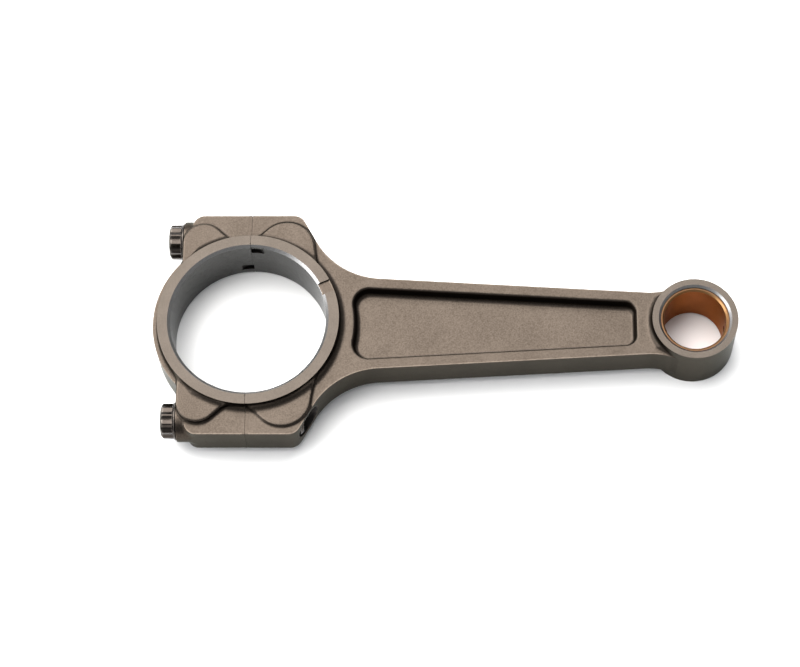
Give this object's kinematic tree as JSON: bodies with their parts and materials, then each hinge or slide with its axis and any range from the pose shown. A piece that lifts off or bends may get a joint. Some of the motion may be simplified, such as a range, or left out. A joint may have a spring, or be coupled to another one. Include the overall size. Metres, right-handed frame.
{
  "type": "engine connecting rod",
  "caption": "Forged I-beam connecting rod with a split, bolted big end, a bronze-bushed small end, raised thrust rings and a pocketed tapering beam.",
  "frame": {"origin": "centre of the big-end bore, in the middle plane of the rod", "axes": "+X along the rod from the big end to the small end, +Z along both bores, +Y across the rod to the side of the bearing tang slots"},
  "size_m": [0.1798, 0.073, 0.0196],
  "materials": {
    "forged_steel": "satin",
    "bronze": "satin",
    "bolt_steel": "gloss",
    "dowel_steel": "satin"
  },
  "bodies": {
    "rod": {"rod_body": "forged_steel", "small_end_bush": "bronze", "dowel_sleeve_1": "dowel_steel", "dowel_sleeve_2": "dowel_steel"},
    "cap": {"cap": "forged_steel"},
    "bolt_1": {"cap_bolt_1": "bolt_steel"},
    "bolt_2": {"cap_bolt_2": "bolt_steel"}
  },
  "joints": [
    {"name": "cap_slide", "type": "slide", "parent": "rod", "child": "cap", "axis": [-1, 0, 0], "range_m": [0, 0.03]},
    {"name": "bolt_1_turn", "type": "hinge", "parent": "cap", "child": "bolt_1", "pos_m": [0, 0.0301, 0], "axis": [-1, 0, 0], "range_deg": [0, 10801]},
    {"name": "bolt_2_turn", "type": "hinge", "parent": "cap", "child": "bolt_2", "pos_m": [0, -0.0301, 0], "axis": [-1, 0, 0], "range_deg": [0, 10801]}
  ],
  "couplings": [
    {"joint": "bolt_1_turn", "follows": "cap_slide", "rad_per_m": 6283.2},
    {"joint": "bolt_2_turn", "follows": "cap_slide", "rad_per_m": 6283.2}
  ]
}
